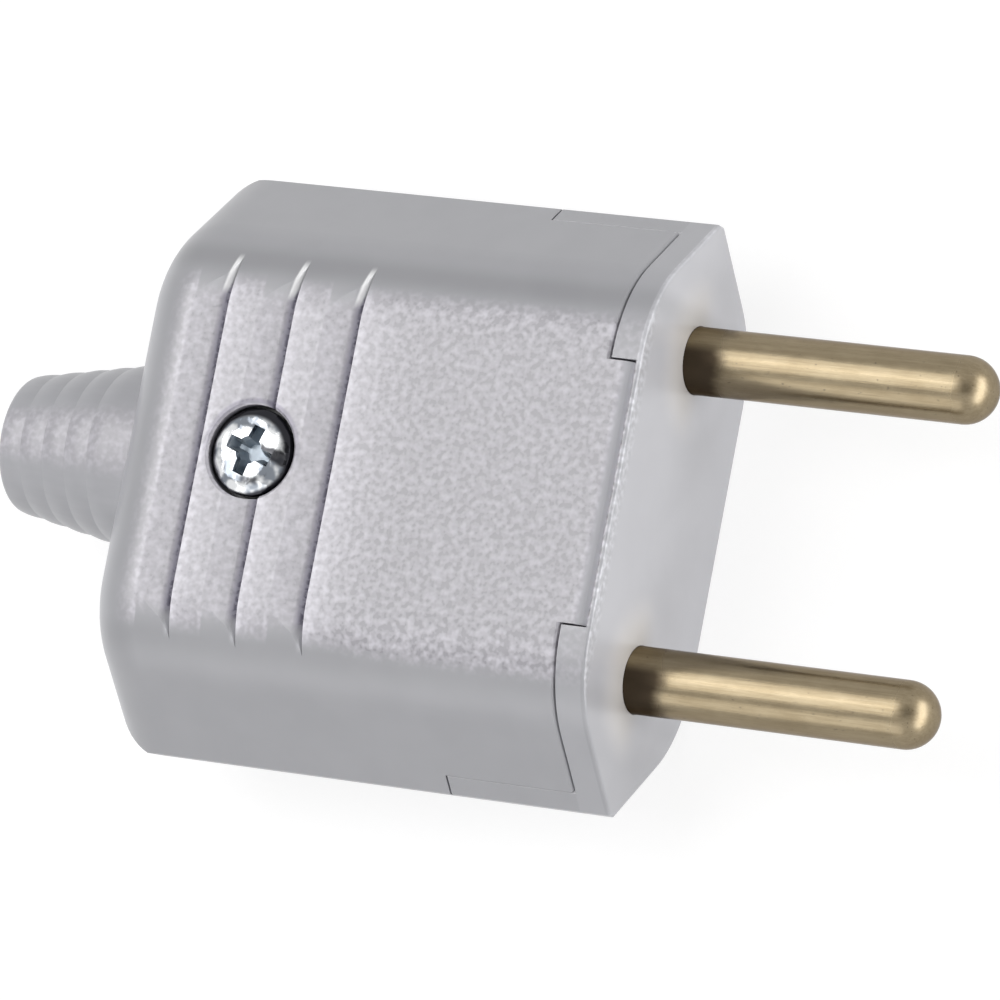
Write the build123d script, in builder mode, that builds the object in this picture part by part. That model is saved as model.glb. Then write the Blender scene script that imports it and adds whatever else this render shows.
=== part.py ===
from build123d import *
from math import radians, sin, tan
import os

# Two-pin mains plug that is opened with one screw and wired by hand. Two moulded half shells
# hold the pins by their terminal heads, a clamp grips the cord, and a ringed sleeve guides it.
# Frame: origin on the mating face midway between the pins, +X along the pins, +Z towards the
# cover, and the two halves meet on the plane through the pins' axes. Sizes are in millimetres.

# Pins, turned in one piece with the terminal heads behind the front wall
pin_diameter = 4.0
pin_spacing = 19.0
pin_projection = 19.0
pin_relief_width = 0.65
pin_relief_depth = 0.25
pin_hole_fit = 0.03
terminal_head_diameter = 6.0
terminal_head_length = 8.0
terminal_head_chamfer = 0.3
terminal_head_fit = 0.05
wire_hole_diameter = 2.6
wire_hole_depth = 6.0

# Terminal screws, headless, standing in the pins' heads
terminal_screw_diameter = 3.0
terminal_screw_from_head_end = 3.5
terminal_screw_bite = 0.7
terminal_screw_stand = 0.9
screw_slot_width = 0.6
screw_slot_depth = 0.7
thread_fit = 0.03

# Cord and its sleeve
cord_diameter = 6.0
cord_fit = 0.15
sleeve_neck_wall = 1.05
sleeve_neck_fit = 0.05
sleeve_seat_depth = 0.8
sleeve_flange_lip = 0.75
sleeve_flange_thickness = 1.0
sleeve_base_diameter = 11.2
sleeve_end_diameter = 8.1
sleeve_collar = 0.6
sleeve_ring_pitch = 1.7
sleeve_ring_count = 5
sleeve_ring_rise = 0.1
sleeve_end_radius = 0.45

# Housing: an eight-sided section of one size from front to rear
wall = 1.8
cavity_room = 0.61
front_wall = 1.9
body_length = 33.65
pin_to_side_edge = 8.07
side_angle = 50.0
side_land = 0.6
shoulder_radius = 7.4
rear_radius = 4.0
cavity_rear_radius = 0.5

# Parting line between the shells
seam_gap = 0.12
side_seam_gap = 0.06
seam_depth = 0.5
side_lip_height = 1.33
side_lip_reach = 10.3
front_lip = 0.4
front_lip_radius = 0.18
tongue_margin = 0.34
tongue_gap = 0.04
tongue_end_length = 0.95
tongue_end_drop = 0.35
cover_edge_radius = 0.25
front_edge_radius = 0.2

# Grip grooves
groove_count = 3
groove_pitch = 4.43
groove_from_rear = 6.4
groove_depth = 0.8
groove_width = 0.8
groove_ramp = 1.6
groove_ramp_drop = 0.3

# Screw that holds the shells together, with its recess, tube and boss
case_screw_diameter = 2.9
case_screw_length = 9.5
case_screw_head_diameter = 5.25
case_screw_head_height = 1.9
case_screw_head_edge = 1.2
case_screw_proud = 0.3
case_screw_turn = -18.0
case_screw_hole_fit = 0.15
recess_fit = 0.2
recess_lead = 0.15
recess_wall = 0.85
recess_seat = 1.2
boss_wall = 1.25
cross_span = 3.1
cross_arm_width = 0.85
cross_core_diameter = 1.7
cross_depth = 1.2
cross_taper = 14.0

# Cord clamp: an arched bar on two posts
clamp_squeeze = 0.4
clamp_bar_thickness = 1.1
clamp_bar_width = 2.6
clamp_end_height = 0.9
clamp_end_thickness = 1.3
clamp_end_margin = 0.15
clamp_gap = 0.1
clamp_post_wall = 0.6
clamp_screw_diameter = 2.0
clamp_screw_length = 6.0
clamp_screw_head_diameter = 3.5
clamp_screw_head_height = 1.3
clamp_screw_head_edge = 0.8

# Ribs inside the shells
rib_thickness = 1.2
rib_side_margin = 0.6
barrier_thickness = 1.5
rib_gap = 0.3
saddle_setback = 1.4

# Half sizes of the housing, worked out from what it holds
pin_radius = pin_diameter / 2
terminal_head_radius = terminal_head_diameter / 2
pin_y = pin_spacing / 2
bore_radius = cord_diameter / 2 + cord_fit
neck_radius = bore_radius + sleeve_neck_wall
flange_radius = neck_radius + sleeve_flange_lip
cavity_half_height = flange_radius + cavity_room
half_height = cavity_half_height + wall
half_width = pin_y + pin_to_side_edge
shoulder_y = half_width - (half_height - side_land / 2) / tan(radians(side_angle))
flat_half_width = shoulder_y - shoulder_radius * tan(radians(side_angle / 2))
tongue_half_width = flat_half_width - tongue_margin

# Stations along X, from the rear end forwards
rear_x = -body_length
rear_wall_x = rear_x + wall
flange_x = rear_wall_x + sleeve_flange_thickness
clamp_x = flange_x + clamp_gap + clamp_screw_head_diameter / 2
recess_radius = case_screw_head_diameter / 2 + recess_fit
tube_radius = recess_radius + recess_wall
case_screw_x = clamp_x + clamp_bar_width / 2 + clamp_gap + tube_radius
boss_radius = case_screw_diameter / 2 + boss_wall
terminal_end_x = -front_wall - terminal_head_length
terminal_screw_x = terminal_end_x + terminal_screw_from_head_end

# Heights at the case screw and the clamp
case_head_top_z = half_height + case_screw_proud
case_head_seat_z = case_head_top_z - case_screw_head_height
arch_radius = cord_diameter / 2 - clamp_squeeze
clamp_seat_z = clamp_end_height
clamp_top_z = clamp_seat_z + clamp_end_thickness
post_radius = clamp_screw_diameter / 2 + clamp_post_wall
post_y = bore_radius + post_radius
beyond = 1.0


def edge_y(z, inset):
    """Half width at height z of the housing's section, drawn in by inset from the outside."""
    slope = radians(side_angle)
    return half_width + (side_land / 2 - z) / tan(slope) - inset / sin(slope)


def half_form(inset, front_x, back_x, back_radius):
    """Upper half of the housing as a solid, drawn in by inset, with its rear edge rounded."""
    top = half_height - inset
    shoulder = edge_y(top, inset)
    foot = [(edge_y(0, inset), 0)]
    if inset == 0:
        foot = [(half_width, 0), (half_width, side_land / 2)]
    right = foot + [(shoulder, top)]
    left = [(-y, z) for y, z in reversed(right)]
    with BuildPart() as form:
        with BuildSketch(Plane.YZ.offset(back_x)) as section:
            with BuildLine():
                Polyline(*right, *left, close=True)
            make_face()
            fillet(section.vertices().group_by(Axis.Y)[-1], shoulder_radius - inset)
        extrude(amount=front_x - back_x)
        rear_edges = form.faces().sort_by(Axis.X)[0].edges()
        fillet(rear_edges.filter_by(lambda e: e.center().Z > side_land), back_radius)
    return form.part


def groove_tool():
    """Cutter of the grip grooves: a gentle ramp, then a floor that curves down to a steep front wall."""
    with BuildPart() as tool:
        for number in range(groove_count):
            front = rear_x + groove_from_rear + number * groove_pitch
            ramp_start = (front - groove_width - groove_ramp, half_height)
            ramp_end = (front - groove_width, half_height - groove_ramp_drop)
            bottom = (front, half_height - groove_depth)
            with BuildSketch(Plane.XZ):
                with BuildLine():
                    TangentArc(ramp_end, bottom, tangent=(groove_ramp, -groove_ramp_drop))
                    Polyline(
                        bottom,
                        (front, half_height + beyond),
                        (ramp_start[0], half_height + beyond),
                        ramp_start,
                        ramp_end,
                    )
                make_face()
            extrude(amount=half_width, both=True)
    return tool.part


def below_cover(rise):
    """Block of all that lies below the cover's edge, if that edge were higher by rise."""
    lip_back_x = -side_lip_reach - side_seam_gap - rise
    with BuildPart() as block:
        with BuildSketch(Plane.XZ):
            with BuildLine():
                Polyline(
                    (rear_x - beyond, rise),
                    (lip_back_x, rise),
                    (lip_back_x, side_lip_height + rise),
                    (beyond, side_lip_height + rise),
                    (beyond, -beyond),
                    (rear_x - beyond, -beyond),
                    close=True,
                )
            make_face()
        extrude(amount=half_width + beyond, both=True)
    return block.part


def ribs_within(form, ribs):
    """The ribs cut to the housing's form, so that their roots end inside its wall."""
    with BuildPart() as trimmed:
        add(ribs)
        add(form, mode=Mode.INTERSECT)
    return trimmed.part


outer_form = half_form(0, 0, rear_x, rear_radius)
cavity_form = half_form(wall, -front_wall, rear_wall_x, cavity_rear_radius)
root_form = half_form(wall / 2, -front_wall / 2, rear_x + wall / 2, cavity_rear_radius)
grooves = groove_tool()
cover_limit = below_cover(0)
root_z = half_height - wall / 2

# The base's rim above the parting plane: its front wall and a lip along each side
with BuildPart() as rim:
    add(outer_form)
    add(cavity_form, mode=Mode.SUBTRACT)
    with BuildSketch(Plane.XZ):
        with BuildLine():
            Polyline(
                (-side_lip_reach, 0),
                (-side_lip_reach, side_lip_height),
                (-front_wall, side_lip_height),
                (-front_wall, half_height + beyond),
                (beyond, half_height + beyond),
                (beyond, 0),
                close=True,
            )
        make_face()
    extrude(amount=half_width + beyond, both=True, mode=Mode.INTERSECT)

# Shallow line around the outside, where the cover's edge stands off the base
seam_core = half_form(seam_depth, 0, rear_x + seam_depth, rear_radius - seam_depth)
with BuildPart() as seam_line:
    add(below_cover(side_seam_gap))
    add(seam_core, mode=Mode.SUBTRACT)

# Saddles under the pins' heads
with BuildPart() as saddles:
    for x in (-front_wall - saddle_setback, terminal_end_x + saddle_setback):
        with BuildSketch(Plane.YZ.offset(x - rib_thickness / 2)):
            for y in (-pin_y, pin_y):
                with Locations((y, -rib_gap - half_height / 2)):
                    Rectangle(terminal_head_diameter + 2 * rib_side_margin, half_height)
            with Locations((-pin_y, 0), (pin_y, 0)):
                Circle(terminal_head_radius + terminal_head_fit, mode=Mode.SUBTRACT)
        extrude(amount=rib_thickness)

# Ribs of the cover: one holds each head down, and one stands behind it
with BuildPart() as holders:
    hold_down_x = -front_wall - saddle_setback
    stop_x = terminal_end_x - terminal_head_fit - rib_thickness / 2
    head_notch = terminal_head_radius + terminal_head_fit
    for x, notch in ((hold_down_x, head_notch), (stop_x, wire_hole_diameter / 2)):
        with BuildSketch(Plane.YZ.offset(x - rib_thickness / 2)):
            for y in (-pin_y, pin_y):
                with Locations((y, rib_gap + half_height / 2)):
                    Rectangle(terminal_head_diameter + 2 * rib_side_margin, half_height)
            with Locations((-pin_y, 0), (pin_y, 0)):
                Circle(notch, mode=Mode.SUBTRACT)
        extrude(amount=rib_thickness)

# Way of the sleeve through the rear wall: a seat for its thick end, then a passage for its neck
with BuildPart() as sleeve_passage:
    with BuildSketch(Plane.YZ.offset(rear_x)):
        Circle(neck_radius + sleeve_neck_fit)
    extrude(amount=wall)
    with BuildSketch(Plane.YZ.offset(rear_x)):
        Circle(sleeve_base_diameter / 2 + sleeve_neck_fit)
    extrude(amount=sleeve_seat_depth)

saddle_ribs = ribs_within(mirror(root_form, about=Plane.XY), saddles.part)
holder_ribs = ribs_within(root_form, holders.part)

with BuildPart() as base_shell:
    mirror(outer_form, about=Plane.XY)
    mirror(cavity_form, about=Plane.XY, mode=Mode.SUBTRACT)
    mirror(grooves, about=Plane.XY, mode=Mode.SUBTRACT)
    add(rim.part)
    # Rebate for the cover's tongue, behind a lip with its rear edge rounded
    with BuildSketch(Plane.XZ):
        lip_edge_z = half_height - front_lip_radius
        with BuildLine():
            Polyline(
                (-front_lip, lip_edge_z),
                (-front_lip, half_height - wall - seam_gap),
                (-front_wall - beyond, half_height - wall - seam_gap),
                (-front_wall - beyond, half_height + beyond),
                (front_lip_radius - front_lip, half_height + beyond),
                (front_lip_radius - front_lip, half_height),
            )
            CenterArc((front_lip_radius - front_lip, lip_edge_z), front_lip_radius, 90, 90)
        make_face()
    extrude(amount=tongue_half_width, both=True, mode=Mode.SUBTRACT)
    front_outline = base_shell.faces().sort_by(Axis.X)[-1].outer_wire().edges()
    fillet(front_outline, front_edge_radius)
    # Holes for the pins, and the rear passage of the sleeve
    with BuildSketch(Plane.YZ.offset(-front_wall)):
        with Locations((-pin_y, 0), (pin_y, 0)):
            Circle(pin_radius + pin_hole_fit)
    extrude(amount=front_wall, mode=Mode.SUBTRACT)
    add(sleeve_passage.part, mode=Mode.SUBTRACT)
    add(saddle_ribs)
    # Barrier between the terminals, screw boss, and the clamp's posts and saddle
    with BuildSketch(Plane.XY.offset(-root_z)):
        barrier_length = -front_wall / 2 - case_screw_x
        with Locations((case_screw_x + barrier_length / 2, 0)):
            Rectangle(barrier_length, barrier_thickness)
        with Locations((case_screw_x, 0)):
            Circle(boss_radius)
    extrude(amount=root_z)
    with BuildSketch(Plane.XY.offset(-root_z)):
        with Locations((clamp_x, -post_y), (clamp_x, post_y)):
            Circle(post_radius)
    extrude(amount=root_z + clamp_seat_z)
    with BuildSketch(Plane.YZ.offset(clamp_x - rib_thickness / 2)):
        with Locations((0, -root_z / 2)):
            Rectangle(2 * post_y, root_z)
        Circle(arch_radius, mode=Mode.SUBTRACT)
    extrude(amount=rib_thickness)
    with Locations((case_screw_x, 0, 0)):
        Hole(case_screw_diameter / 2 + thread_fit, depth=case_screw_length - case_head_seat_z + rib_gap)
    with Locations((clamp_x, -post_y, clamp_seat_z), (clamp_x, post_y, clamp_seat_z)):
        post_hole_depth = clamp_screw_length - clamp_end_thickness + rib_gap
        Hole(clamp_screw_diameter / 2 + thread_fit, depth=post_hole_depth)

with BuildPart() as cover_shell:
    add(outer_form)
    # Everything below and in front of the cover's edge belongs to the base
    add(cover_limit, mode=Mode.SUBTRACT)
    add(seam_line.part, mode=Mode.SUBTRACT)
    with BuildSketch(Plane.YZ.offset(-front_wall - seam_gap)):
        Rectangle(2 * (half_width + beyond), 2 * (half_height + beyond))
    extrude(amount=front_wall + beyond, mode=Mode.SUBTRACT)
    front_edges = cover_shell.faces().sort_by(Axis.X)[-1].edges()
    fillet(front_edges.filter_by(lambda e: e.center().Z > side_lip_height + beyond), cover_edge_radius)
    add(cavity_form, mode=Mode.SUBTRACT)
    # Tongue over the front wall, which rounds off towards the lip
    with BuildSketch(Plane.XZ):
        tongue_x = -front_lip - tongue_gap
        bend = (tongue_x - tongue_end_length, half_height)
        with BuildLine():
            Polyline(
                (tongue_x, half_height - tongue_end_drop),
                (tongue_x, half_height - wall),
                (-front_wall - wall, half_height - wall),
                (-front_wall - wall, half_height),
                bend,
            )
            TangentArc(bend, (tongue_x, half_height - tongue_end_drop), tangent=(1, 0))
        make_face()
    extrude(amount=tongue_half_width - seam_gap, both=True)
    add(holder_ribs)
    # Barrier between the terminals, and the tube of the screw that seats on the base's boss
    with BuildSketch(Plane.XY.offset(rib_gap)):
        barrier_length = -front_wall - rib_gap - case_screw_x
        with Locations((case_screw_x + barrier_length / 2, 0)):
            Rectangle(barrier_length, barrier_thickness)
    extrude(amount=root_z - rib_gap)
    with BuildSketch(Plane.XY):
        with Locations((case_screw_x, 0)):
            Circle(boss_radius)
    extrude(amount=root_z)
    with BuildSketch(Plane.XY.offset(case_head_seat_z - recess_seat)):
        with Locations((case_screw_x, 0)):
            Circle(tube_radius)
    extrude(amount=root_z - case_head_seat_z + recess_seat)
    with Locations((case_screw_x, 0, half_height)):
        CounterBoreHole(
            case_screw_diameter / 2 + case_screw_hole_fit, recess_radius, half_height - case_head_seat_z
        )
    recess_edge = cover_shell.edges().filter_by(GeomType.CIRCLE).group_by(Axis.Z)[-1]
    chamfer(recess_edge, recess_lead)
    add(grooves, mode=Mode.SUBTRACT)
    add(sleeve_passage.part, mode=Mode.SUBTRACT)


def turned_pin():
    """A pin along X: terminal head, relief groove at the mating face, round tip."""
    with BuildPart() as turned:
        with BuildSketch(Plane.XY):
            straight = pin_projection - pin_radius
            relief = pin_radius - pin_relief_depth
            with BuildLine():
                Polyline(
                    (straight, pin_radius),
                    (0, pin_radius),
                    (0, relief),
                    (-pin_relief_width, relief),
                    (-pin_relief_width, pin_radius),
                    (-front_wall, pin_radius),
                    (-front_wall, terminal_head_radius),
                    (terminal_end_x + terminal_head_chamfer, terminal_head_radius),
                    (terminal_end_x, terminal_head_radius - terminal_head_chamfer),
                    (terminal_end_x, 0),
                    (pin_projection, 0),
                )
                RadiusArc((straight, pin_radius), (pin_projection, 0), pin_radius)
            make_face()
        revolve(axis=Axis.X)
        with BuildSketch(Plane.YZ.offset(terminal_end_x)):
            Circle(wire_hole_diameter / 2)
        extrude(amount=wire_hole_depth, mode=Mode.SUBTRACT)
        with BuildSketch(Plane.XY):
            with Locations((terminal_screw_x, 0)):
                Circle(terminal_screw_diameter / 2 + thread_fit)
        extrude(amount=terminal_head_radius, mode=Mode.SUBTRACT)
    return turned.part


def headless_screw():
    """Slotted headless screw of a terminal, standing along Z over the wire hole."""
    foot_z = wire_hole_diameter / 2 - terminal_screw_bite
    top_z = terminal_head_radius + terminal_screw_stand
    radius = terminal_screw_diameter / 2
    with BuildPart() as headless:
        with BuildSketch(Plane.XY.offset(foot_z)):
            with Locations((terminal_screw_x, 0)):
                Circle(radius)
        extrude(amount=top_z - foot_z)
        ends = headless.edges().filter_by(GeomType.CIRCLE)
        chamfer(ends, screw_slot_width / 2)
        with BuildSketch(Plane.XY.offset(top_z)):
            with Locations((terminal_screw_x, 0)):
                Rectangle(terminal_screw_diameter, screw_slot_width)
        extrude(amount=-screw_slot_depth, mode=Mode.SUBTRACT)
    return headless.part


def pan_head_blank(radius, head_radius, head_height, head_edge, length):
    """Screw along Z with a domed head, its seat at z = 0 and its shank below, without a recess."""
    with BuildPart() as blank:
        with BuildSketch(Plane.XZ):
            with BuildLine():
                Polyline(
                    (0, head_height),
                    (0, -length),
                    (radius / 2, -length),
                    (radius, -length + radius),
                    (radius, 0),
                    (head_radius, 0),
                    (head_radius, head_edge),
                )
                EllipticalCenterArc((0, head_edge), head_radius, head_height - head_edge, arc_size=90)
            make_face()
        revolve(axis=Axis.Z)
    return blank.part


case_blank = pan_head_blank(
    case_screw_diameter / 2,
    case_screw_head_diameter / 2,
    case_screw_head_height,
    case_screw_head_edge,
    case_screw_length,
)
clamp_blank = pan_head_blank(
    clamp_screw_diameter / 2,
    clamp_screw_head_diameter / 2,
    clamp_screw_head_height,
    clamp_screw_head_edge,
    clamp_screw_length,
)

with BuildPart() as case_screw:
    with Locations((case_screw_x, 0, case_head_seat_z)):
        add(case_blank)
    with BuildSketch(Plane.XY.offset(case_head_top_z)):
        with Locations((case_screw_x, 0)):
            Rectangle(cross_span, cross_arm_width, rotation=case_screw_turn)
            Rectangle(cross_arm_width, cross_span, rotation=case_screw_turn)
            Circle(cross_core_diameter / 2)
    extrude(amount=-cross_depth, taper=cross_taper, mode=Mode.SUBTRACT)

with BuildPart() as cord_clamp_bar:
    with BuildSketch(Plane.YZ.offset(clamp_x - clamp_bar_width / 2)):
        with Locations((0, clamp_seat_z + clamp_end_thickness / 2)):
            Rectangle(2 * (post_y + post_radius + clamp_end_margin), clamp_end_thickness)
        Circle(arch_radius + clamp_bar_thickness)
        Circle(arch_radius, mode=Mode.SUBTRACT)
        with Locations((0, clamp_seat_z - half_height)):
            Rectangle(2 * half_width, 2 * half_height, mode=Mode.SUBTRACT)
    extrude(amount=clamp_bar_width)
    with Locations((clamp_x, -post_y, clamp_top_z), (clamp_x, post_y, clamp_top_z)):
        Hole(clamp_screw_diameter / 2 + thread_fit, depth=clamp_end_thickness)

with BuildPart() as cord_sleeve:
    with BuildSketch(Plane.XY):
        ring_start_x = rear_x - sleeve_collar
        end_x = ring_start_x - sleeve_ring_count * sleeve_ring_pitch
        base_radius, end_radius = sleeve_base_diameter / 2, sleeve_end_diameter / 2
        step = (end_radius - base_radius) / sleeve_ring_count
        with BuildLine():
            Polyline(
                (end_x, end_radius),
                (end_x, bore_radius),
                (flange_x, bore_radius),
                (flange_x, flange_radius),
                (rear_wall_x, flange_radius),
                (rear_wall_x, neck_radius),
                (rear_x + sleeve_seat_depth, neck_radius),
                (rear_x + sleeve_seat_depth, base_radius),
                (ring_start_x, base_radius),
            )
            for ring in range(sleeve_ring_count):
                near = (ring_start_x - ring * sleeve_ring_pitch, base_radius + ring * step)
                far = (near[0] - sleeve_ring_pitch, near[1] + step)
                SagittaArc(near, far, -sleeve_ring_rise)
        make_face()
    revolve(axis=Axis.X)
    end_edges = cord_sleeve.edges().filter_by(GeomType.CIRCLE).group_by(Axis.X)[0]
    fillet(end_edges.sort_by(SortBy.RADIUS)[-1], sleeve_end_radius)

pin_shape = turned_pin()
terminal_screw_shape = headless_screw()
nodes = {
    "base_shell": base_shell.part,
    "cover_shell": cover_shell.part,
    "case_screw": case_screw.part,
    "cord_sleeve": cord_sleeve.part,
    "cord_clamp_bar": cord_clamp_bar.part,
}
for side, sign in (("left", 1), ("right", -1)):
    with BuildPart() as pin:
        with Locations((0, sign * pin_y, 0)):
            add(pin_shape)
    nodes["pin_" + side] = pin.part
    with BuildPart() as terminal_screw:
        with Locations((0, sign * pin_y, 0)):
            add(terminal_screw_shape)
    nodes["terminal_screw_" + side] = terminal_screw.part
    with BuildPart() as clamp_screw:
        with Locations((clamp_x, sign * post_y, clamp_top_z)):
            add(clamp_blank)
        with BuildSketch(Plane.XY.offset(clamp_top_z + clamp_screw_head_height)):
            with Locations((clamp_x, sign * post_y)):
                Rectangle(clamp_screw_head_diameter, screw_slot_width)
        extrude(amount=-screw_slot_depth, mode=Mode.SUBTRACT)
    nodes["clamp_screw_" + side] = clamp_screw.part

os.makedirs("parts", exist_ok=True)
for name, shape in nodes.items():
    shape.label = name
    export_step(shape, f"parts/{name}.step")
    print(name, len(shape.solids()), round(shape.volume, 2))
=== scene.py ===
"""Looks of a two-pin plug: grained grey housing, drawn brass pins, plated screw and ringed sleeve."""
from math import pi

import bpy
import numpy as np
from mathutils import Matrix, Vector


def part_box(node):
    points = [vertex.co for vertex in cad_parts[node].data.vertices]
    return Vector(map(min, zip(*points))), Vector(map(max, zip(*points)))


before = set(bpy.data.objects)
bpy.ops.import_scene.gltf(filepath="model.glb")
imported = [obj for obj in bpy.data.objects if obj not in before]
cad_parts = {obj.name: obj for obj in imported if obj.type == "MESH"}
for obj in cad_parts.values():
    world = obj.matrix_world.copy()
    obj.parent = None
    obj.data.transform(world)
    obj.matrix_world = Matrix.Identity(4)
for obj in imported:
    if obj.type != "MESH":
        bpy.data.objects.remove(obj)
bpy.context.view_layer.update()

MM = 0.001

# Places taken from the frame, in millimetres
base_low, base_high = (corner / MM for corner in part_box("base_shell"))
pin_low, pin_high = (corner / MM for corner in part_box("pin_left"))
screw_low, screw_high = (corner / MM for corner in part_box("case_screw"))
top_z = base_high.z
rear_x = base_low.x
pin_y = (pin_low.y + pin_high.y) / 2
screw_x = (screw_low.x + screw_high.x) / 2
screw_top_z = screw_high.z


class Wire:
    """A node socket in Python arithmetic: each operator on it adds one Math node to its tree."""

    def __init__(self, tree, socket):
        self.tree = tree
        self.socket = socket

    def node(self, kind, settings, inputs, output=0):
        """Adds a node of this kind, applies its settings, then fills its sockets with values or links."""
        made = self.tree.nodes.new(kind)
        for name, value in settings.items():
            setattr(made, name, value)
        for name, value in inputs.items():
            if isinstance(value, Wire):
                self.tree.links.new(value.socket, made.inputs[name])
            else:
                made.inputs[name].default_value = value
        if made.outputs:
            return Wire(self.tree, made.outputs[output])

    def maths(self, operation, *values):
        """A Math node with these values."""
        return self.node("ShaderNodeMath", {"operation": operation}, dict(enumerate(values)))

    def __add__(self, other):
        return self.maths("ADD", self, other)

    __radd__ = __add__

    def __sub__(self, other):
        return self.maths("SUBTRACT", self, other)

    def __rsub__(self, other):
        return self.maths("SUBTRACT", other, self)

    def __mul__(self, other):
        return self.maths("MULTIPLY", self, other)

    __rmul__ = __mul__

    def __truediv__(self, other):
        return self.maths("DIVIDE", self, other)

    def __abs__(self):
        return self.maths("ABSOLUTE", self)

    def most(self, other):
        """The larger of two numbers."""
        return self.maths("MAXIMUM", self, other)

    def away(self, other):
        """Distance from the origin of a point with this number and the other as its coordinates."""
        return self.maths("SQRT", self * self + other * other)

    def rise(self, low, high):
        """Smooth step from 0 at low to 1 at high."""
        settings = {"interpolation_type": "SMOOTHSTEP"}
        return self.node("ShaderNodeMapRange", settings, {"Value": self, "From Min": low, "From Max": high})

    def between(self, low, high, soft):
        """1 from low to high and 0 elsewhere, with edges that are soft to this distance on each side."""
        return self.rise(low - soft, low + soft) * (1 - self.rise(high - soft, high + soft))

    def times(self, factor):
        """A colour or vector times one number."""
        return self.node("ShaderNodeVectorMath", {"operation": "SCALE"}, {0: self, "Scale": factor})

    def scaled(self, *factors):
        """A vector times one factor for each axis."""
        return self.node("ShaderNodeVectorMath", {"operation": "MULTIPLY"}, {0: self, 1: factors})

    def parts(self):
        """The three numbers of a vector."""
        split = self.node("ShaderNodeSeparateXYZ", {}, {"Vector": self}).socket.node
        return [Wire(self.tree, socket) for socket in split.outputs]

    def noise(self, scale, detail=2.0, roughness=0.5):
        """Noise between 0 and 1 at this place, with scale cells to a unit of it."""
        inputs = {"Vector": self, "Scale": scale, "Detail": detail, "Roughness": roughness}
        return self.node("ShaderNodeTexNoise", {}, inputs)

    def tint(self, first, second):
        """Colour from first at 0 to second at 1."""
        settings = {"data_type": "RGBA"}
        return self.node("ShaderNodeMix", settings, {0: self, 6: first, 7: second}, output=2)

    def bump(self, depth, below=None):
        """Normal of a relief of this height and this depth in millimetres, laid over another normal."""
        inputs = {"Height": self, "Distance": depth * MM, "Strength": 1.0}
        if below is not None:
            inputs["Normal"] = below
        return self.node("ShaderNodeBump", {}, inputs)


def new_finish(name):
    """An empty material, with the place on the object in millimetres to start its pattern from."""
    material = bpy.data.materials.new(name)
    material.use_nodes = True
    material.node_tree.nodes.clear()
    start = Wire(material.node_tree, None)
    place = start.node("ShaderNodeTexCoord", {}, {}, output="Object")
    return material, place.scaled(1 / MM, 1 / MM, 1 / MM)


def surface(material, place, **sockets):
    """Closes a material with one Principled shader, whose socket names are given with low lines."""
    inputs = {name.replace("_", " "): value for name, value in sockets.items()}
    shader = place.node("ShaderNodeBsdfPrincipled", {}, inputs)
    place.node("ShaderNodeOutputMaterial", {}, {"Surface": shader})
    return material


# Below, lengths are in millimetres, left is +Y, and a pair is where a change or a band starts and ends

# Moulded plastic: its colours, and the size and relief of its grain
PLASTIC_SHINE = 0.8
SMOOTH_DARK = (0.350, 0.351, 0.372, 1.0)
SMOOTH_LIGHT = (0.364, 0.365, 0.386, 1.0)
SMOOTH_WAVES = 0.01
GRAIN_DARK = (0.340, 0.330, 0.359, 1.0)
GRAIN_LIGHT = (0.625, 0.611, 0.659, 1.0)
GRAIN_SIZE = 0.39
GRAIN_DEPTH = 0.003
GRAIN_SPREAD = (0.30, 0.85)
CLOUD_SPREAD = (0.3, 0.7)


def spark_grain(place):
    """Grain of a spark-eroded mould: its light and dark specks, and the height of its relief."""
    height = place.noise(1 / GRAIN_SIZE, 1.0, 0.45)
    return height.rise(*GRAIN_SPREAD), height


def smooth_plastic(cloud):
    """Colour of the smooth plastic, which varies a little with a cloud."""
    return cloud.rise(*CLOUD_SPREAD).tint(SMOOTH_DARK, SMOOTH_LIGHT)


# Grip grooves: a ramp sinks forwards to the foot of a wall, and a land lies ahead of the wall's rim
GROOVE_FROM_REAR = 6.4
GROOVE_PITCH = 4.43
GROOVE_LAST = 2 * GROOVE_PITCH
GROOVE_REACH = 2.4
GROOVE_START = 0.3
RAMP_START = GROOVE_PITCH - GROOVE_REACH
HARD_EDGE = 0.05


def grip_grooves(from_rear):
    """Distances ahead of the first wall and of the nearest wall behind, and 1 where the grooves are."""
    run = from_rear - GROOVE_FROM_REAR
    ahead = run.maths("WRAP", run, GROOVE_PITCH, 0.0)
    grooved = run.between(-GROOVE_REACH - GROOVE_START, GROOVE_LAST, HARD_EDGE)
    return run, ahead, grooved


# Painted sheen and highlights on the lands, rims and ridges, and painted shade on the flat ahead of the
# grooves
LAND = (0.0, 2.2)
LAND_LIGHTER = 0.23
LAND_LEFT = (-8.0, 4.0)
LAND_DULLER_LEFT = 0.07
RIM = (0.0, 0.7)
RIM_LIGHTER = 0.26
RIDGE = (RAMP_START - 0.2, RAMP_START)
RIDGE_FIRST = (-GROOVE_REACH - 0.35, -GROOVE_REACH + 0.10)
RIDGE_SOFT = 0.1
RIDGE_PARTS = (0.4, 0.6)
RIDGE_LIGHTER = 0.14
FLAT_DULLER = 0.15
FLAT_SIDES = (8.2, 9.6)
FLAT_SIDES_LIGHTER = 0.14


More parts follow.
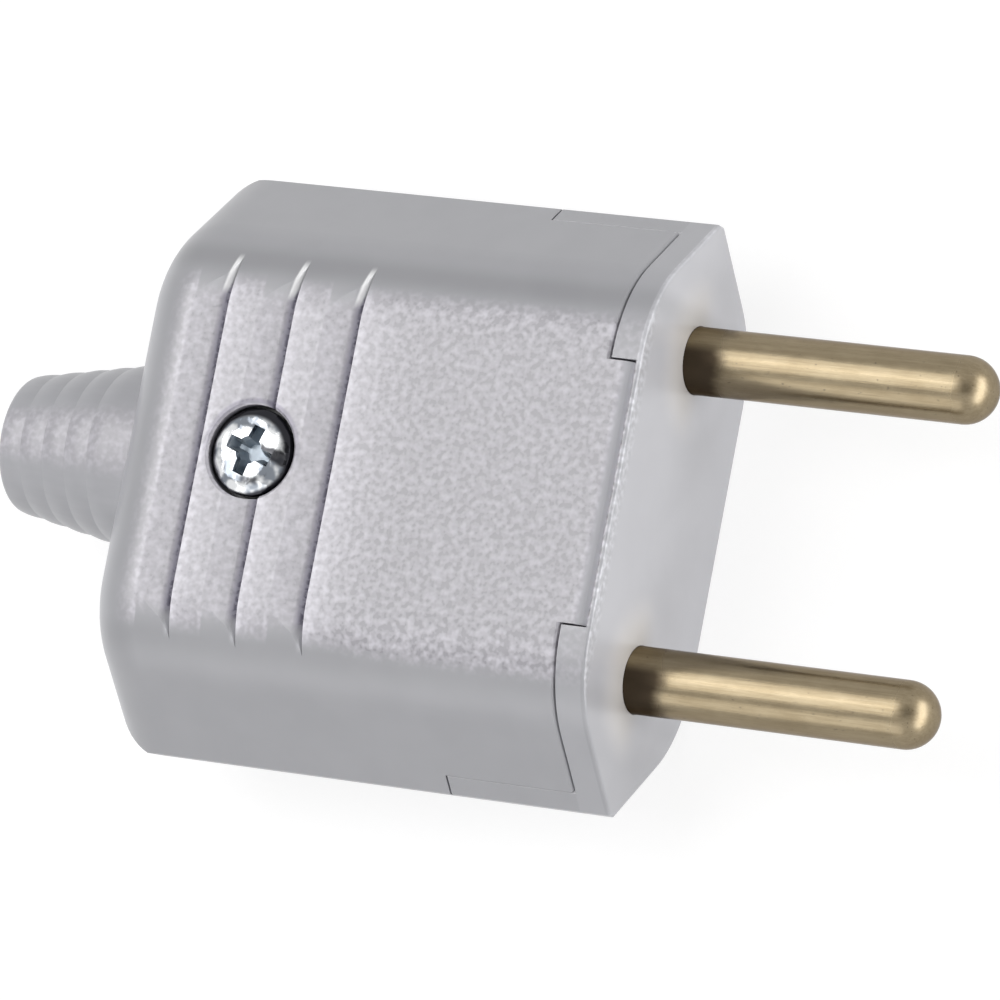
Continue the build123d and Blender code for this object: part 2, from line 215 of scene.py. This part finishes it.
def faces_painted_sheen(run, ahead, grooved, flat, y, cloud):
    """How much painted sheen lightens the grained faces.

    The lands are lightened by painted sheen, most of all at their rims, and so in parts are the ridges where
    ramps start, by a painted highlight. Painted shade dulls the flat ahead of the grooves, except along its
    sides.
    """
    land = run.between(0.0, GROOVE_LAST + GROOVE_PITCH, HARD_EDGE) * (1 - ahead.rise(*LAND))
    rim = land * (1 - ahead.rise(*RIM))
    ridge = ahead.between(*RIDGE, RIDGE_SOFT) * grooved * cloud.rise(*RIDGE_PARTS)
    ridge = ridge + run.between(*RIDGE_FIRST, RIDGE_SOFT)
    faces_sheen = land * (LAND_LIGHTER - y.rise(*LAND_LEFT) * LAND_DULLER_LEFT)
    faces_sheen = faces_sheen + rim * RIM_LIGHTER + ridge * RIDGE_LIGHTER
    return faces_sheen + flat * (abs(y).rise(*FLAT_SIDES) * FLAT_SIDES_LIGHTER - FLAT_DULLER)


# Right ends of the grooves, where painted light lifts the shade along the foot of the wall
TIP_CREASE = (GROOVE_PITCH - 0.5, GROOVE_PITCH - 0.2)
TIP_RIGHT = (10.0, 11.2)
TIP_SOFT = 0.3
TIP_SUNK = (1.1, 1.4)


def groove_tips(ahead, grooved, y, depth):
    """1 at the right ends of the grooves, along the foot of the wall."""
    tip = ahead.rise(*TIP_CREASE) * (0 - y).between(*TIP_RIGHT, TIP_SOFT) * grooved
    return tip * (1 - depth.rise(*TIP_SUNK))


# Painted light in the grooves: a lighter violet, painted crease shade and dirt in clumps along the walls,
# and painted highlights at their left tips
GROOVE_PAINTED_LIGHT_VIOLET = (0.400, 0.386, 0.460, 1.0)
GROOVE_SUNK = (0.36, 0.95)
GROOVE_SOFT = 0.08
GROOVE_SIDES = (9.4, 10.2)
CREASE_SHADE_AND_DIRT = (0.060, 0.054, 0.090, 1.0)
CREASE_SHADE_AND_DIRT_REACH = (GROOVE_PITCH - 0.55, GROOVE_PITCH - 0.30)
CREASE_SHADE_AND_DIRT_CLUMPS = (0.45, 0.56)
CREASE_SHADE_AND_DIRT_THIN = 0.25
CREASE_SHADE_AND_DIRT_THICKER = 0.6
TIP_HIGHLIGHT_COLOUR = (0.960, 0.960, 0.970, 1.0)
TIP_HIGHLIGHT_END = 11.6
TIP_HIGHLIGHT_LEFT = (9.4, TIP_HIGHLIGHT_END - 0.1)
TIP_HIGHLIGHT_LEFT_SOFT = 0.4
TIP_HIGHLIGHT_WIDTH = 0.34
TIP_HIGHLIGHT_TAPER = 0.18
TIP_HIGHLIGHT_SUNK = (1.0, 1.2)


def grooves_painted_light(colour, place, ahead, grooved, y, depth):
    """Painted light in violet in the grooves, painted crease shade and dirt along the walls, painted tip
    highlights.
    """
    groove = depth.between(*GROOVE_SUNK, GROOVE_SOFT) * (1 - abs(y).rise(*GROOVE_SIDES)) * grooved
    colour = groove.tint(colour, GROOVE_PAINTED_LIGHT_VIOLET)
    clumps = place.noise(4.0, 1.0, 0.5).rise(*CREASE_SHADE_AND_DIRT_CLUMPS)
    crease_shade_and_dirt = ahead.rise(*CREASE_SHADE_AND_DIRT_REACH) * groove * (CREASE_SHADE_AND_DIRT_THIN + clumps * CREASE_SHADE_AND_DIRT_THICKER)
    colour = crease_shade_and_dirt.tint(colour, CREASE_SHADE_AND_DIRT)
    behind_tip = ahead + (TIP_HIGHLIGHT_END - y) * TIP_HIGHLIGHT_TAPER - GROOVE_PITCH
    tip_highlight = behind_tip.between(-TIP_HIGHLIGHT_WIDTH, 0.0, GROOVE_SOFT) * y.between(*TIP_HIGHLIGHT_LEFT, TIP_HIGHLIGHT_LEFT_SOFT)
    return (tip_highlight * grooved * (1 - depth.rise(*TIP_HIGHLIGHT_SUNK))).tint(colour, TIP_HIGHLIGHT_COLOUR)


TONGUE_TOP = (0.5, 0.7)
ROUNDING = (-1.05, -0.42)
ROUNDING_SOFT = 0.2
ROUNDING_REAR = (-1.6, -1.0)
ROUNDING_REAR_PAINTED_LIGHT = 0.22
ROUNDING_FRONT = (-0.85, -0.55)
ROUNDING_FRONT_PAINTED_LIGHT = 0.5
ROUNDING_END = (-0.42, -0.38)


def tongue_rounding(x, depth, tongue):
    """Smooth band along the rounded front of the cover's tongue, and the painted light that lightens it
    forwards.
    """
    top = tongue * (1 - depth.rise(*TONGUE_TOP))
    band = x.between(*ROUNDING, ROUNDING_SOFT) * top
    lighter = x.rise(*ROUNDING_REAR) * ROUNDING_REAR_PAINTED_LIGHT
    lighter = lighter + x.rise(*ROUNDING_FRONT) * ROUNDING_FRONT_PAINTED_LIGHT
    return band, lighter * (1 - x.rise(*ROUNDING_END)) * top


# Painted speckled highlight along the upper front edge, and painted shade on the corner strips' edges
EDGE = (-0.30, -0.04)
EDGE_SOFT = 0.04
EDGE_TONGUE_SPECKS = 0.55
EDGE_LEFT_LIGHTER = 0.3
EDGE_LEFT_SPECKS = 0.25
EDGE_STRIPS_DULLER = 0.1
FRINGE_SUNK = (0.4, 1.3)
FRINGE_SPECKS = 0.5
FRINGE_MIDDLE = 0.25


def front_edge_painted_highlight(x, depth, upper, left, tongue, face, specks):
    """How much painted highlight lightens the upper front edge.

    The painted highlight lies in specks along the tongue and the left corner strip, but not along the right
    one, which painted shade dulls. A fringe of painted specks runs over onto the face.
    """
    strips = left * (EDGE_LEFT_LIGHTER + specks * EDGE_LEFT_SPECKS) - EDGE_STRIPS_DULLER
    edge_highlight = tongue * specks * EDGE_TONGUE_SPECKS + (1 - tongue) * strips
    fringe = face * (1 - depth.rise(*FRINGE_SUNK)) * upper
    return x.between(*EDGE, EDGE_SOFT) * upper * edge_highlight + fringe * (specks - FRINGE_MIDDLE) * FRINGE_SPECKS


# Painted light on the front face, brightest and warm round the pins
FACE_LIGHTER = 0.06
FACE_RIGHT_END = (-15.0, -8.0)
FACE_LIGHTER_LEFT = 0.18
GLOW_REACH = (2.3, 5.4)
GLOW_LIGHTER = 0.26
GLOW_UPPER = (-1.5, 1.0)
GLOW_WARM = (1.42, 1.36, 1.24)


def face_painted_light(colour, face, y, z):
    """Front face with painted light: lighter except at its right end, and lightest and warm round the pins.
    """
    glow = 1 - (abs(y) - pin_y).away(z).rise(*GLOW_REACH)
    lighter = FACE_LIGHTER + y.rise(*FACE_RIGHT_END) * FACE_LIGHTER_LEFT + glow * GLOW_LIGHTER
    warm = face * glow * z.rise(*GLOW_UPPER)
    return warm.tint(colour.times(1 + face * lighter), colour.scaled(*GLOW_WARM))


# Painted shade in the recess of the case screw and on its collar
RECESS_RADIUS = 2.9
RECESS_WALL = (RECESS_RADIUS - 0.05, RECESS_RADIUS + 0.02)
RECESS_SUNK = (0.45, 0.70)
RECESS_PAINTED_SHADE = (0.020, 0.020, 0.026, 1.0)
COLLAR = (RECESS_RADIUS, RECESS_RADIUS + 0.3)
COLLAR_SOFT = 0.1
COLLAR_LEFT = (-3.0, 3.0)
COLLAR_SHADE = (0.62, 0.60, 0.68)


def recess_painted_shade(colour, x, y, depth, upper):
    """Recess of the case screw: black with painted shade inside, with a collar of painted shade that fades
    to the right.
    """
    reach = (x - screw_x).away(y)
    collar = reach.between(*COLLAR, COLLAR_SOFT) * upper * y.rise(*COLLAR_LEFT)
    colour = collar.tint(colour, colour.scaled(*COLLAR_SHADE))
    inside = (1 - reach.rise(*RECESS_WALL)) * depth.rise(*RECESS_SUNK)
    return inside.tint(colour, RECESS_PAINTED_SHADE)


# Parts of the housing that its finish tells apart, and the painted light and shade laid on some of them
LEFT_HALF = (-1.0, 1.0)
UPPER_HALF = (0.0, 1.0)
FLAT = (GROOVE_LAST + 1.0, GROOVE_LAST + 5.0)
CALM = (GROOVE_LAST - 0.5, GROOVE_LAST + 3.0)
CALM_FAINTER = 0.3
CALM_LIGHTER = 0.1
TONGUE_SIDE = (7.7, 7.8)
STRIP_REAR = (-2.0, -1.9)
STRIP_PAINTED_LIGHT = 0.1
STRIP_GRAIN_DULLER = 0.25
FRONT_FACE = (-0.14, -0.04)
SHOULDER = (10.8, 12.2)
SHOULDER_SOFT = 0.6
SHOULDER_PAINTED_SHADE = 0.09
SHOULDER_PAINTED_SHADE_LEFT = 0.08
REAR_ROUNDING = (0.4, 2.4)
REAR_PAINTED_LIGHT = 0.26
TIP_PAINTED_LIGHT = 0.4

# Ends of the grain: at the sides, at the rear and front, and down in the grooves
GRAIN_SIDES = (9.6, 10.8)
GRAIN_WIDER_RIGHT = 0.5
GRAIN_WIDER_AHEAD = 0.3
GRAIN_RAMP = (RAMP_START, RAMP_START + 0.15)
GRAIN_NARROWER_ON_RAMPS = 0.8
GRAIN_REAR = (2.3, 4.1)
GRAIN_FRONT = (-0.30, -0.15)
GRAIN_SUNK = (0.55, 0.95)
GRAIN_FAINTER_ON_STRIPS = 0.6
GRAIN_RELIEF_OUTSIDE = 0.06
HOUSING_ROUGHNESS = 0.32
HOUSING_GRAIN_ROUGHNESS = 0.12


def moulded_plastic(name):
    """Moulded grey plastic of the housing: spark-eroded grain on the broad faces, smooth elsewhere.

    The grain is calmer among the grooves and fainter on the corner strips. It ends in a soft line a little
    beyond the edges of the flats, sooner on the ramps and later on the right. Painted shade darkens the
    shoulders beside it, and painted light lightens the rounding at the rear end.
    """
    material, place = new_finish(name)
    x, y, z = place.parts()
    from_rear = x - rear_x
    depth = top_z - abs(z)
    upper = z.rise(*UPPER_HALF)
    left = y.rise(*LEFT_HALF)
    cloud = place.noise(0.3, 2.0, 0.5)
    run, ahead, grooved = grip_grooves(from_rear)
    flat = run.rise(*FLAT)
    tongue = 1 - abs(y).rise(*TONGUE_SIDE)
    strip = x.rise(*STRIP_REAR) * (1 - tongue)
    face = x.rise(*FRONT_FACE)
    # Painted light lightens the tongue's rounding forwards
    band, rounding = tongue_rounding(x, depth, tongue)

    specks, height = spark_grain(place)
    calm = 1 - run.rise(*CALM)
    specks = specks * (1 - calm * CALM_FAINTER) + calm * CALM_LIGHTER
    ramp = ahead.rise(*GRAIN_RAMP) * grooved
    wider = (1 - left) * (GRAIN_WIDER_RIGHT + flat * GRAIN_WIDER_AHEAD)
    across = 1 - (abs(y) + ramp * GRAIN_NARROWER_ON_RAMPS - wider).rise(*GRAIN_SIDES)
    along = from_rear.rise(*GRAIN_REAR) * (1 - x.rise(*GRAIN_FRONT))
    grained = across * along * (1 - depth.rise(*GRAIN_SUNK)) * (1 - band)
    grained = grained * (1 - strip * GRAIN_FAINTER_ON_STRIPS)
    colour = grained.tint(smooth_plastic(cloud), specks.tint(GRAIN_DARK, GRAIN_LIGHT))

    # Painted sheen and highlights on the grained faces
    faces_sheen = grained * faces_painted_sheen(run, ahead, grooved, flat, y, cloud)
    # Painted highlight along the upper front edge
    edge = front_edge_painted_highlight(x, depth, upper, left, tongue, face, specks)
    colour = colour.times(1 + faces_sheen + rounding + edge)
    # Painted shade darkens the shoulders beside the grain
    shoulder = abs(y).between(*SHOULDER, SHOULDER_SOFT) * (1 - grained)
    shoulder = shoulder * (SHOULDER_PAINTED_SHADE + left * SHOULDER_PAINTED_SHADE_LEFT)
    # Painted light on the rounding at the rear end
    rear = (1 - from_rear.rise(*REAR_ROUNDING)) * REAR_PAINTED_LIGHT
    # Painted light on the tops of the corner strips, less where they are grained
    strip_top = strip * (1 - face) * (STRIP_PAINTED_LIGHT - grained * STRIP_GRAIN_DULLER)
    # Painted light lifting the shade at the right ends of the grooves
    tips = groove_tips(ahead, grooved, y, depth) * TIP_PAINTED_LIGHT
    colour = colour.times(1 - shoulder + rear + strip_top + tips)
    # Painted light, painted crease shade and dirt, and painted highlights in the grooves
    colour = grooves_painted_light(colour, place, ahead, grooved, y, depth)
    # Painted light on the front face
    colour = face_painted_light(colour, face, y, z)
    # Painted shade in the screw's recess and on its collar
    colour = recess_painted_shade(colour, x, y, depth, upper)

    relief = height * (GRAIN_RELIEF_OUTSIDE + grained * (1 - GRAIN_RELIEF_OUTSIDE))
    normal = relief.bump(GRAIN_DEPTH, cloud.bump(SMOOTH_WAVES))
    roughness = HOUSING_ROUGHNESS + (specks - 0.5) * HOUSING_GRAIN_ROUGHNESS * grained
    sockets = {"Base_Color": colour, "Roughness": roughness, "Normal": normal}
    return surface(material, place, Specular_IOR_Level=PLASTIC_SHINE, **sockets)


SLEEVE_STREAKS = (0.25, 1.6, 1.6)
SLEEVE_LIGHTER = 1.11
SLEEVE_CROWN = (0.90, 0.99)
SLEEVE_SPECKS_DARK = 0.15
SLEEVE_SPECKS_SPREAD = 0.58
SLEEVE_RELIEF_OUTSIDE = 0.1
SLEEVE_ROUGHNESS = 0.36
SLEEVE_GRAIN_ROUGHNESS = 0.1


def soft_plastic(name):
    """Soft grey plastic of the sleeve: grained along its crown and underside, smooth at its sides."""
    material, place = new_finish(name)
    y, z = place.parts()[1:]
    specks, height = spark_grain(place)
    streaks = place.scaled(*SLEEVE_STREAKS).noise(1.0, 2.0, 0.5)
    crown = (abs(z) / y.away(z)).rise(*SLEEVE_CROWN)
    smooth = smooth_plastic(streaks).times(SLEEVE_LIGHTER)
    grain = (SLEEVE_SPECKS_DARK + specks * SLEEVE_SPECKS_SPREAD).tint(GRAIN_DARK, GRAIN_LIGHT)
    colour = crown.tint(smooth, grain)
    relief = height * (SLEEVE_RELIEF_OUTSIDE + crown * (1 - SLEEVE_RELIEF_OUTSIDE))
    roughness = SLEEVE_ROUGHNESS + (specks - 0.5) * SLEEVE_GRAIN_ROUGHNESS * crown
    sockets = {"Base_Color": colour, "Roughness": roughness, "Normal": relief.bump(GRAIN_DEPTH)}
    return surface(material, place, Specular_IOR_Level=PLASTIC_SHINE, **sockets)


# Brass of the pins: streaks, hairs and patches have so many cells to a millimetre along and across
BRASS_BRIGHT = (0.272, 0.220, 0.138, 1.0)
BRASS_DULL = (0.205, 0.159, 0.092, 1.0)
BRASS_ROOT_SHADE_AND_SPECKS = (0.056, 0.041, 0.026, 1.0)
BRASS_EDGE = (0.50, 0.45, 0.40, 1.0)
BRASS_STREAKS = (0.12, 6.0, 6.0)
BRASS_HAIRS = (0.8, 22.0, 22.0)
BRASS_PATCHES = (0.4, 1.0, 1.0)
BRASS_SPREAD = (0.34, 0.66)
BRASS_SPECKS = (0.71, 0.77)
BRASS_RELIEF = 0.006
BRASS_ROUGHNESS = 0.19
PATCHES_ROUGHER = 0.08
PIN_RADIUS = 2.0
# Reach of the painted dark reflection at the root
ROOT = (1.9, 3.1)
ROOT_MIDDLE = -0.15
ROOT_SHORTER_ASIDE = 0.7
ROOT_RAGGED = 0.8
ROOT_LEFT = (0.05, 0.5)
ROOT_ROUGHER = 0.10
PIN_TIP = (16.4, 17.6)
PIN_TIP_ROUGHER = 0.10
LACQUER = 0.5
LACQUER_ROUGHNESS = 0.25
LACQUER_LOST = 0.4


def drawn_brass(name, centre_y):
    """Dull drawn brass under thin lacquer: fine streaks along the pin, dark specks and a painted dark root
    reflection.

    The painted dark reflection at the root reaches farthest along the middle of the pin and leaves out its
    left side. The lacquer is gone from the root, and the rounded tip is duller.
    """
    material, place = new_finish(name)
    x, y = place.parts()[:2]
    streaks = place.scaled(*BRASS_STREAKS).noise(1.0, 4.0, 0.7)
    hairs = place.scaled(*BRASS_HAIRS).noise(1.0, 2.0, 0.5)
    patches = place.scaled(*BRASS_PATCHES).noise(1.3, 3.0, 0.6)
    specks = place.noise(4.5, 1.0, 0.5).rise(*BRASS_SPECKS)
    skin = (streaks * 0.4 + patches * 0.4 + hairs * 0.2).rise(*BRASS_SPREAD).tint(BRASS_DULL, BRASS_BRIGHT)
    aside = (y - centre_y) / PIN_RADIUS
    # Painted dark reflection at the root, farthest along the middle of the pin
    root = x + abs(aside - ROOT_MIDDLE) * ROOT_SHORTER_ASIDE + (patches - 0.5) * ROOT_RAGGED
    root = 1 - root.rise(*ROOT)
    root_shade_and_specks = (root * (1 - aside.rise(*ROOT_LEFT))).most(specks * 0.5)
    colour = root_shade_and_specks.tint(skin, BRASS_ROOT_SHADE_AND_SPECKS)
    relief = (streaks * 0.5 + hairs * 0.5).bump(BRASS_RELIEF)
    rougher = patches * PATCHES_ROUGHER + root * ROOT_ROUGHER + x.rise(*PIN_TIP) * PIN_TIP_ROUGHER
    sockets = {"Base_Color": colour, "Roughness": BRASS_ROUGHNESS + rougher, "Normal": relief}
    lacquer = {"Coat_Weight": LACQUER - root * LACQUER_LOST, "Coat_Roughness": LACQUER_ROUGHNESS}
    return surface(material, place, Metallic=1.0, Specular_Tint=BRASS_EDGE, **sockets, **lacquer)


# Plated steel of the screws
STEEL_BRIGHT = (0.52, 0.54, 0.55, 1.0)
STEEL_DULL = (0.21, 0.23, 0.26, 1.0)
STEEL_ROUGHNESS = 0.25
STEEL_ROUGHER = 0.15
PLATE_RELIEF = 0.004
PLATE_CLOUDS = (0.35, 0.75)


def plate_relief(place, below=None):
    """Fine unevenness of the plate, laid over another normal."""
    return place.noise(9.0, 2.0, 0.5).bump(PLATE_RELIEF, below)


def plated_steel(name):
    """Plated steel of the inner screws, with small dull clouds in its shine."""
    material, place = new_finish(name)
    cloud = place.noise(1.4, 3.0, 0.6)
    colour = cloud.rise(*CLOUD_SPREAD).tint(STEEL_DULL, STEEL_BRIGHT)
    roughness = STEEL_ROUGHNESS + cloud.rise(*PLATE_CLOUDS) * STEEL_ROUGHER
    sockets = {"Base_Color": colour, "Roughness": roughness, "Normal": plate_relief(place)}
    return surface(material, place, Metallic=1.0, **sockets)


# Head of the case screw: places are measured from its middle
PLATE_POLISHED = (0.74, 0.75, 0.76, 1.0)
PLATE_CROSS_SHADE = (0.32, 0.37, 0.42, 1.0)
PLATE_BLACK = (0.03, 0.03, 0.035, 1.0)
PLATE_SMEARS = (0.38, 0.56)
PLATE_ROUGHNESS = 0.10
PLATE_ROUGHER = 0.12
DENT_DEPTH = 0.35
CROSS_REACH = (1.56, 1.68)
CROSS_SUNK = (0.2, 0.5)
CROSS_SHADE = 0.85
CROSS_ROUGHER = 0.35
LEFT_RIM = (2.20, 2.50)
LEFT_RIM_MIDDLE = (-0.10, -0.30)
LEFT_RIM_RAGGED = 0.4
RIGHT_RIM = (2.75, 2.95)
RIGHT_RIM_MIDDLE = (-0.25, 0.35)
STREAK_FRONT = (0.5, 0.9)
STREAK_SIDES = (0.35, 0.65)
STREAK_Y = 0.53
STREAK_SLOPE = 0.38
STREAK_RAGGED = 1.0
STREAK_BLACK = 0.95
BLOTCH_ALONG = (-0.3, 0.9)
BLOTCH_ALONG_SOFT = 0.2
BLOTCH_ACROSS = (-1.95, -1.50)
BLOTCH_ACROSS_SOFT = 0.15
BLOTCH_BLACK = 0.8


def worn_plate_with_painted_shade(name):
    """Bright plate of the case screw: dented and smeared, and darkened in the cross by painted shade.

    Painted shade makes its rim black in two crescents, a broad one on the left and a thin one on the right.
    A painted dark reflection runs as a streak from the cross to the front of the rim, and a dark blotch lies
    to the right of the cross.
    """
    material, place = new_finish(name)
    x, y, z = place.parts()
    ahead = x - screw_x
    smear = place.noise(0.9, 2.0, 0.55)
    dents = place.noise(0.75, 1.0, 0.5)
    # Painted shade in the cross
    cross = (1 - ahead.away(y).rise(*CROSS_REACH)) * (screw_top_z - z).rise(*CROSS_SUNK)
    # Painted shade in two black crescents on the rim
    left_rim = (ahead - LEFT_RIM_MIDDLE[0]).away(y - LEFT_RIM_MIDDLE[1]) + (smear - 0.5) * LEFT_RIM_RAGGED
    right_rim = (ahead - RIGHT_RIM_MIDDLE[0]).away(y - RIGHT_RIM_MIDDLE[1])
    rim = left_rim.rise(*LEFT_RIM).most(right_rim.rise(*RIGHT_RIM))
    # Painted dark reflection as a streak from the cross to the front of the rim
    from_streak = y + ahead * STREAK_SLOPE - STREAK_Y + (smear - 0.5) * STREAK_RAGGED
    streak = ahead.rise(*STREAK_FRONT) * (1 - abs(from_streak).rise(*STREAK_SIDES))
    blotch = y.between(*BLOTCH_ACROSS, BLOTCH_ACROSS_SOFT) * ahead.between(*BLOTCH_ALONG, BLOTCH_ALONG_SOFT)
    black = rim.most(streak * STREAK_BLACK).most(blotch * BLOTCH_BLACK)
    shine = smear.rise(*PLATE_SMEARS).tint(STEEL_DULL, PLATE_POLISHED)
    colour = black.tint((cross * CROSS_SHADE).tint(shine, PLATE_CROSS_SHADE), PLATE_BLACK)
    roughness = PLATE_ROUGHNESS + smear.rise(*PLATE_CLOUDS) * PLATE_ROUGHER + cross * CROSS_ROUGHER
    normal = plate_relief(place, dents.bump(DENT_DEPTH))
    return surface(material, place, Base_Color=colour, Roughness=roughness, Normal=normal, Metallic=1.0)


def dress(node, material):
    """Gives a CAD node one material in place of the one it came with."""
    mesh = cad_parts[node].data
    mesh.materials.clear()
    mesh.materials.append(material)


housing_plastic = moulded_plastic("housing_plastic")
sleeve_plastic = soft_plastic("sleeve_plastic")
zinc_plate = plated_steel("zinc_plate")

dress("cover_shell", housing_plastic)
dress("base_shell", housing_plastic)
dress("cord_clamp_bar", housing_plastic)
dress("cord_sleeve", sleeve_plastic)
dress("case_screw", worn_plate_with_painted_shade("bright_plate"))
for side, centre_y in (("left", pin_y), ("right", -pin_y)):
    dress("pin_" + side, drawn_brass("brass_" + side, centre_y))
    dress("terminal_screw_" + side, zinc_plate)
    dress("clamp_screw_" + side, zinc_plate)

# Floor: half its width and its gap under the base, and its colours
FLOOR_REACH = 3000.0
FLOOR_GAP = 0.02
FLOOR_PALE = (0.80, 0.80, 0.80, 1.0)
FLOOR_SHADED = (0.32, 0.32, 0.32, 1.0)
FLOOR_GLOW = 0.77


def floor_sheet():
    """Level sheet under the plug: the point at (u, v) is (u, v) times its reach, just below the base."""
    u, v = np.meshgrid(np.linspace(-1, 1, 3), np.linspace(-1, 1, 3))
    level = np.full_like(u, base_low.z - FLOOR_GAP)
    points = np.stack([u * FLOOR_REACH, v * FLOOR_REACH, level], axis=-1) * MM
    index = np.arange(u.size).reshape(u.shape)
    corners = (index[:-1, :-1], index[:-1, 1:], index[1:, 1:], index[1:, :-1])
    faces = np.stack([corner.ravel() for corner in corners], axis=-1)
    mesh = bpy.data.meshes.new("floor")
    mesh.from_pydata(points.reshape(-1, 3).tolist(), [], faces.tolist())
    sheet = bpy.data.objects.new("floor", mesh)
    bpy.context.collection.objects.link(sheet)
    return sheet


def seen_rays(start):
    """1 for what the camera sees straight, in a reflection or through glass, 0 for what only gives light."""
    path = start.node("ShaderNodeLightPath", {}, {}).socket.node.outputs
    camera_ray, glossy_ray, passing_ray = (
        Wire(start.tree, path[kind]) for kind in ("Is Camera Ray", "Is Glossy Ray", "Is Transmission Ray")
    )
    return camera_ray.most(glossy_ray).most(passing_ray)


def floor_finish():
    """Pale matt floor that is seen as white, where it isn't shaded, by the camera and in reflections."""
    material, place = new_finish("pale_floor")
    pale = place.node("ShaderNodeBsdfDiffuse", {}, {"Color": FLOOR_PALE})
    shaded = place.node("ShaderNodeBsdfDiffuse", {}, {"Color": FLOOR_SHADED})
    glow = place.node("ShaderNodeEmission", {}, {"Color": (1, 1, 1, 1), "Strength": FLOOR_GLOW})
    white = place.node("ShaderNodeAddShader", {}, {0: shaded, 1: glow})
    both = place.node("ShaderNodeMixShader", {}, {0: seen_rays(place), 1: pale, 2: white})
    place.node("ShaderNodeOutputMaterial", {}, {"Surface": both})
    return material


floor = floor_sheet()
floor.data.materials.append(floor_finish())

# Middle of the plug, which the lights and the card face
AIM = Vector((-10, 0, 0))


def soft_box(name, direction, distance, width, height, radiance):
    """Rectangular soft box that faces the plug from a direction, of an even radiance over its area."""
    lamp = bpy.data.lights.new(name, "AREA")
    lamp.shape = "RECTANGLE"
    lamp.size = width * MM
    lamp.size_y = height * MM
    lamp.energy = radiance * pi * lamp.size * lamp.size_y
    holder = bpy.data.objects.new(name, lamp)
    bpy.context.collection.objects.link(holder)
    towards = Vector(direction).normalized()
    holder.location = (AIM + towards * distance) * MM
    holder.rotation_euler = towards.to_track_quat("Z", "Y").to_euler()
    holder.visible_camera = False


soft_box("overhead_box", (-0.46, 0.14, 0.88), distance=400, width=360, height=320, radiance=1.86)
soft_box("strip_box", (-0.46, 0.18, 0.87), distance=390, width=40, height=320, radiance=2.0)
soft_box("rear_box", (-0.66, -0.05, 0.74), distance=420, width=400, height=80, radiance=1.6)
soft_box("front_box", (0.96, 0.02, 0.22), distance=320, width=500, height=160, radiance=3.9)
soft_box("side_box", (-0.20, -0.85, 0.48), distance=500, width=400, height=300, radiance=1.1)

FELT_DARK = (0.42, 0.42, 0.42, 1.0)
FELT_LIGHT = (0.48, 0.48, 0.48, 1.0)


def grey_card(name, direction, distance, width, height):
    """Square of grey card that faces the plug: the point at (u, v) is its middle plus u across and v up."""
    towards = Vector(direction).normalized()
    across = Vector((0, 0, 1)).cross(towards).normalized()
    up = towards.cross(across)
    middle = np.array(AIM + towards * distance)
    u, v = np.meshgrid((-width / 2, width / 2), (-height / 2, height / 2))
    points = middle + u[..., None] * np.array(across) + v[..., None] * np.array(up)
    mesh = bpy.data.meshes.new(name)
    mesh.from_pydata((points.reshape(-1, 3) * MM).tolist(), [], [(0, 1, 3, 2)])
    card = bpy.data.objects.new(name, mesh)
    bpy.context.collection.objects.link(card)
    card.visible_camera = False
    return card


def card_finish():
    """Matt grey felt on the card, with a faint nap."""
    material, place = new_finish("grey_felt")
    colour = place.noise(0.5, 2.0, 0.5).tint(FELT_DARK, FELT_LIGHT)
    return surface(material, place, Base_Color=colour, Roughness=1.0)


camera_card = grey_card("camera_card", (0.52, -0.05, 0.85), distance=300, width=200, height=200)
camera_card.data.materials.append(card_finish())

WORLD_DIM = 0.30
WORLD_WHITE = 1.0


def studio_surround():
    """Even dim surround for light, which the camera and reflections see as white."""
    world = bpy.data.worlds.new("studio")
    bpy.context.scene.world = world
    world.use_nodes = True
    world.node_tree.nodes.clear()
    start = Wire(world.node_tree, None)
    dim = start.node("ShaderNodeBackground", {}, {"Color": (1, 1, 1, 1), "Strength": WORLD_DIM})
    white = start.node("ShaderNodeBackground", {}, {"Color": (1, 1, 1, 1), "Strength": WORLD_WHITE})
    both = start.node("ShaderNodeMixShader", {}, {0: seen_rays(start), 1: dim, 2: white})
    start.node("ShaderNodeOutputWorld", {}, {"Surface": both})


studio_surround()

# Camera of the photograph, found by matching the plug's edges: columns are its right, up and back
CAMERA_PLACE = Vector((195.29, -63.67, 407.34)) * MM
CAMERA_RIGHT = (0.88810, 0.18507, -0.42076)
CAMERA_UP = (-0.10542, 0.97297, 0.20547)
CAMERA_BACK = (0.44741, -0.13812, 0.88360)
CAMERA_LENS = 283.5

camera_data = bpy.data.cameras.new("camera")
camera_data.lens = CAMERA_LENS
camera_data.sensor_width = 36.0
camera_data.clip_start = 0.01
camera_data.clip_end = 20.0
camera = bpy.data.objects.new("camera", camera_data)
bpy.context.collection.objects.link(camera)
turn = Matrix((CAMERA_RIGHT, CAMERA_UP, CAMERA_BACK)).transposed()
camera.matrix_world = Matrix.Translation(CAMERA_PLACE) @ turn.to_4x4()
bpy.context.scene.camera = camera

bpy.context.scene.view_settings.view_transform = "Standard"
